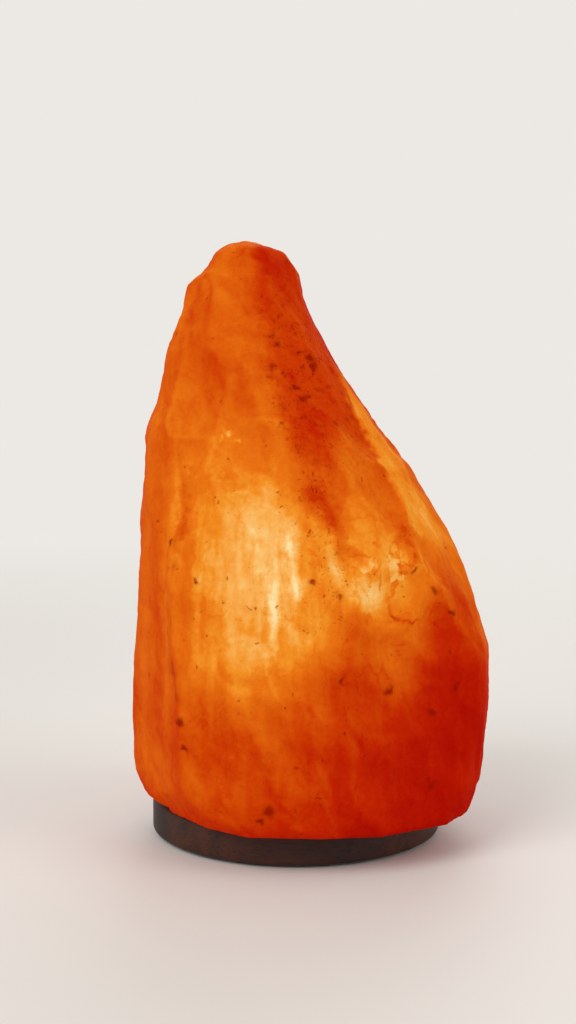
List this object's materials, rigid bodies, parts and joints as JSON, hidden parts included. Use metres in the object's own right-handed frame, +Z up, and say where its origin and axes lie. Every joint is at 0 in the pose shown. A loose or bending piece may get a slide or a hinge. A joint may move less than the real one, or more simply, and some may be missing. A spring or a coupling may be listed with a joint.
{
  "type": "salt crystal lamp",
  "caption": "Hewn translucent salt crystal on a round wooden base, bored from below for a small bulb in a lampholder held by a sprung clip.",
  "frame": {"origin": "on the table, on the axis of the bore, at the underside of the felt ring", "axes": "+Z up along the bore, +X to the right and +Y to the rear as the lamp is seen from its front; the lead's groove points to +Y"},
  "size_m": [0.1302, 0.1261, 0.2137],
  "materials": {
    "rock_salt": "hewn translucent rock salt, orange with reddish bands, brushed smooth",
    "base_wood": "dark stained turned hardwood, satin lacquer",
    "felt": "black pressed felt",
    "zinc_steel": "zinc plated steel",
    "anchor_nylon": "grey nylon",
    "black_moulding": "black phenolic moulding, soft gloss",
    "gland_nylon": "black nylon",
    "seal_rubber": "black rubber",
    "porcelain": "white glazed porcelain",
    "contact_brass": "stamped brass",
    "spring_steel": "bright spring steel strip",
    "solder": "dull soldered tip",
    "black_glass": "black glass disc",
    "cap_metal": "rolled thin aluminium",
    "clear_glass": "clear blown glass",
    "stem_glass": "clear pressed glass",
    "nickel_wire": "drawn nickel wire",
    "filament_tungsten": "coiled tungsten, glowing"
  },
  "bodies": {
    "lampholder": {"holder_sleeve": "black_moulding", "holder_cap": "black_moulding", "ring_nut": "black_moulding", "gland_body": "gland_nylon", "gland_nut": "gland_nylon", "gland_seal": "seal_rubber", "porcelain_core": "porcelain", "screw_shell": "contact_brass", "shell_contact": "contact_brass", "centre_contact": "contact_brass", "terminal_blocks": "contact_brass", "terminal_screws": "zinc_steel", "retaining_clip": "spring_steel"},
    "lamp": {"salt_crystal": "rock_salt", "wooden_base": "base_wood", "felt_ring": "felt", "base_screws": "zinc_steel", "screw_anchors": "anchor_nylon"},
    "bulb_foot": {"bulb_contact": "solder"},
    "bulb": {"bulb_glass": "clear_glass", "bulb_cap": "cap_metal", "bulb_insulator": "black_glass", "bulb_stem": "stem_glass", "bulb_leads": "nickel_wire", "bulb_filament": "filament_tungsten", "filament_supports": "nickel_wire"}
  },
  "joints": [
    {"name": "lamp_lift", "type": "slide", "parent": "lampholder", "child": "lamp", "axis": [0, 0, 1], "range_m": [0, 0.12]},
    {"name": "bulb_travel", "type": "slide", "parent": "lampholder", "child": "bulb_foot", "axis": [0, 0, 1], "range_m": [0, 0.00706]},
    {"name": "bulb_turn", "type": "hinge", "parent": "bulb_foot", "child": "bulb", "pos_m": [0, 0, 0.0578], "axis": [0, 0, 1], "range_deg": [0, 900]}
  ],
  "couplings": [
    {"joint": "bulb_travel", "follows": "bulb_turn", "m_per_rad": 0.00044882}
  ]
}
